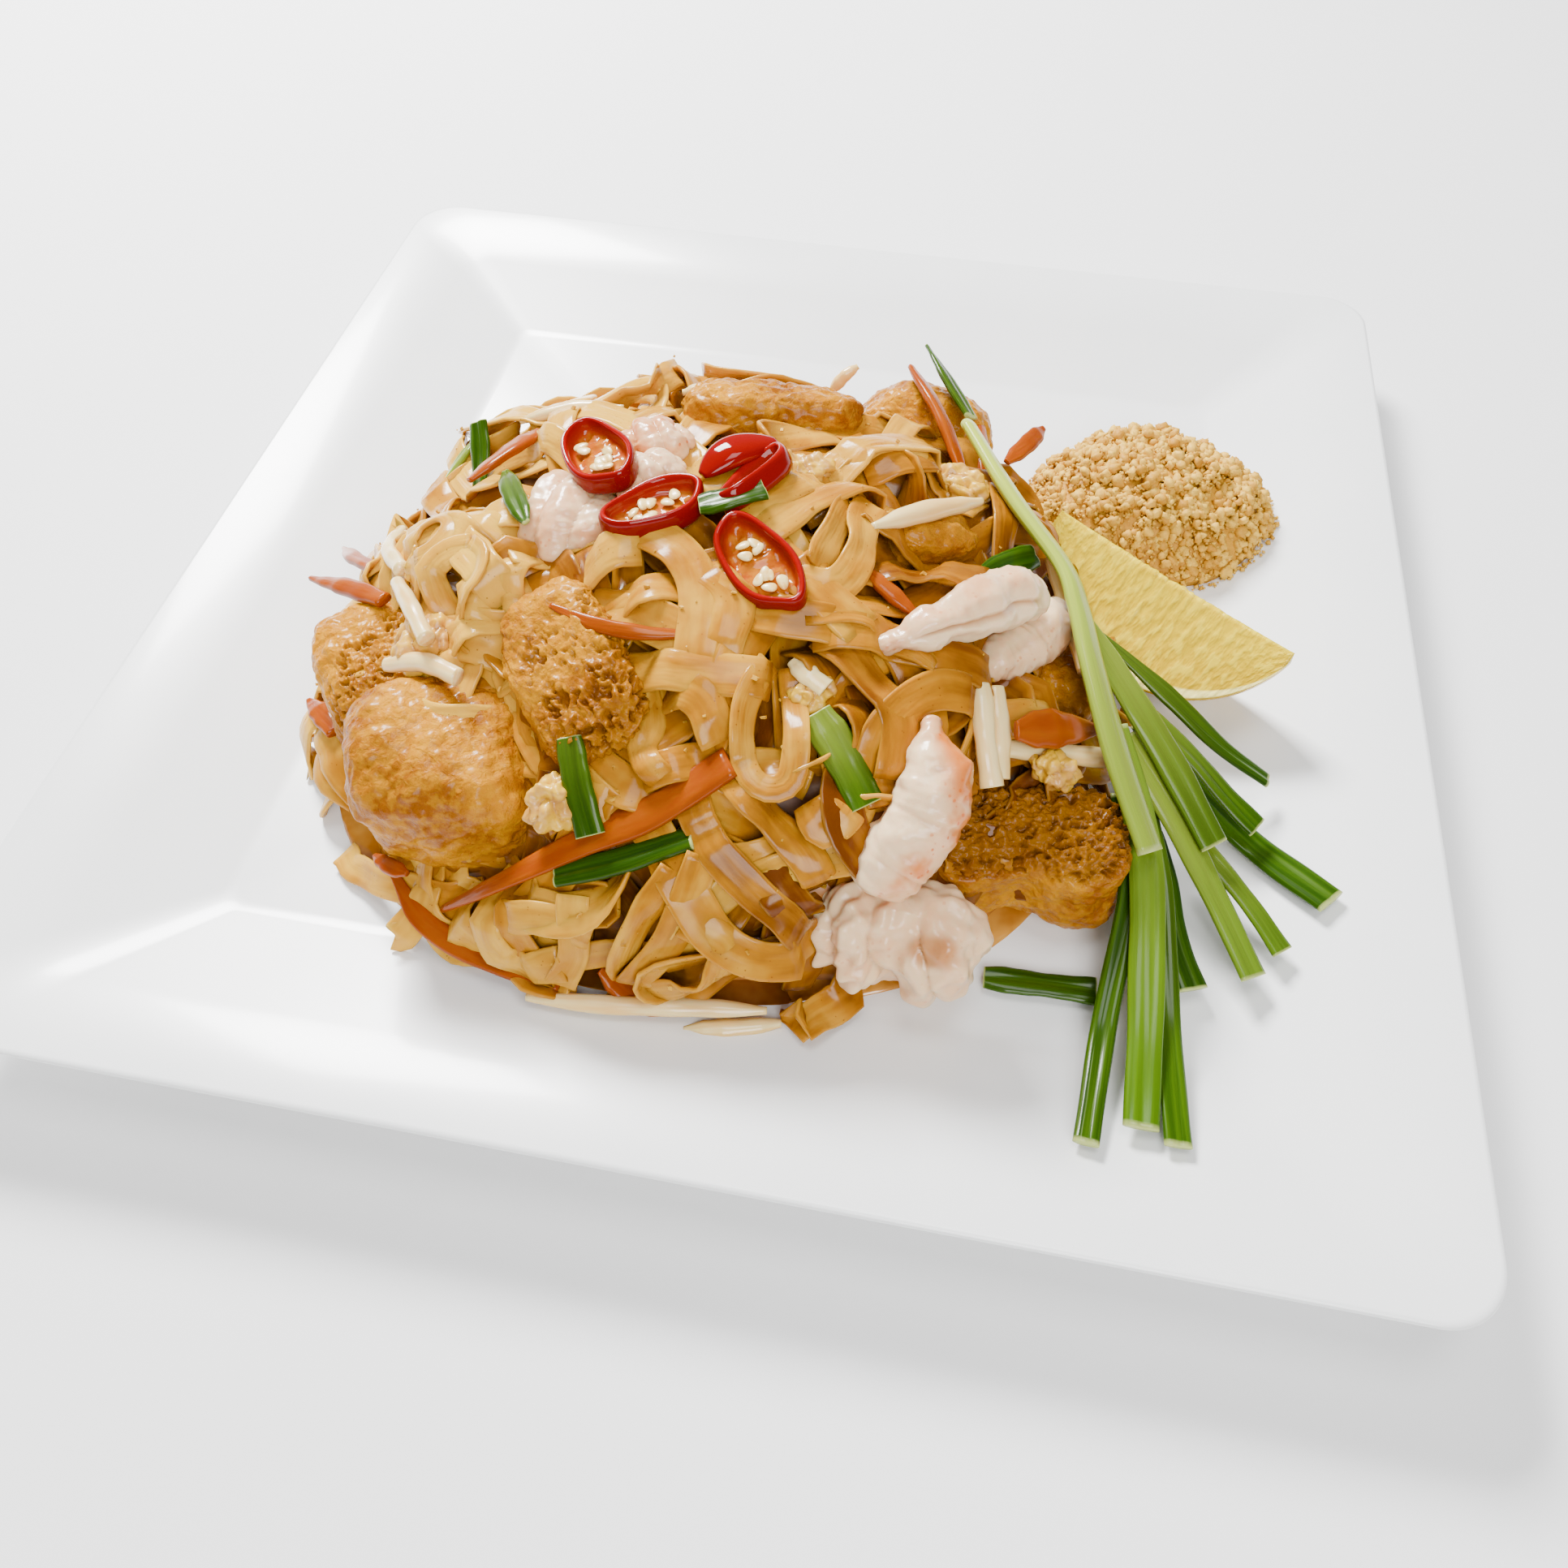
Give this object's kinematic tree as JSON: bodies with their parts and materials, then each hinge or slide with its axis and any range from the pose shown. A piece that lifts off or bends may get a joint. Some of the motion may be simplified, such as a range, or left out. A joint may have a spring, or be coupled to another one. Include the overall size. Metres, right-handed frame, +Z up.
{
  "type": "pad thai",
  "caption": "Mound of flat rice noodles with prawns, fried tofu, chilli, chives, lemon and crushed peanut, served on a square plate.",
  "frame": {"origin": "middle of the plate's underside, on the surface it stands on", "axes": "+Z up, +X to the right along the plate's front edge, +Y away from the diner"},
  "size_m": [0.3, 0.3, 0.0771],
  "materials": {
    "glazed_white": "white gloss glaze",
    "noodle": "glossy, sauced, slightly see-through flat rice noodle",
    "fried_tofu": "wrinkled golden fried skin with a spongy inside",
    "prawn_meat": "moist cooked prawn, white with orange veins",
    "chilli_red": "shiny fresh chilli skin and flesh",
    "lemon_flesh": "wet segment flesh with waxy rind",
    "crushed_nut": "dry crushed peanut",
    "chive_green": "smooth chive stalk with fine lengthwise lines",
    "carrot_orange": "moist shredded carrot",
    "sprout_white": "moist bean sprout",
    "cooked_egg": "crinkled scrambled egg"
  },
  "bodies": {
    "root": {"carrot_back": "carrot_orange", "carrot_curved": "carrot_orange", "carrot_front": "carrot_orange", "carrot_leaf": "carrot_orange", "carrot_left": "carrot_orange", "carrot_long": "carrot_orange", "carrot_right": "carrot_orange", "chilli_1": "chilli_red", "chilli_2": "chilli_red", "chilli_3": "chilli_red", "chilli_4": "chilli_red", "chilli_5": "chilli_red", "chive_10": "chive_green", "chive_11": "chive_green", "chive_2": "chive_green", "chive_3": "chive_green", "chive_4": "chive_green", "chive_5": "chive_green", "chive_6": "chive_green", "chive_7": "chive_green", "chive_8": "chive_green", "chive_9": "chive_green", "chive_dark_end": "chive_green", "chive_flat": "chive_green", "chive_stalk": "chive_green", "chive_tip": "chive_green", "egg_front": "cooked_egg", "egg_left": "cooked_egg", "egg_right": "cooked_egg", "green_back_1": "chive_green", "green_back_2": "chive_green", "green_centre": "chive_green", "green_front_low": "chive_green", "green_front_upright": "chive_green", "green_left_top": "chive_green", "green_top": "chive_green", "lemon_wedge": "lemon_flesh", "noodle_heap": "noodle", "peanut_heap": "crushed_nut", "plate": "glazed_white", "prawn_back": "prawn_meat", "prawn_butterflied": "prawn_meat", "prawn_front": "prawn_meat", "prawn_pink": "prawn_meat", "prawn_right": "prawn_meat", "prawn_shaded": "prawn_meat", "prawn_white": "prawn_meat", "sprout_front": "sprout_white", "sprout_left": "sprout_white", "sprout_right": "sprout_white", "sprout_upright": "sprout_white", "tofu_back": "fried_tofu", "tofu_back_right": "fried_tofu", "tofu_centre": "fried_tofu", "tofu_front": "fried_tofu", "tofu_left": "fried_tofu", "tofu_right": "fried_tofu", "tofu_shaded": "fried_tofu", "tofu_top": "fried_tofu"}
  },
  "joints": []
}
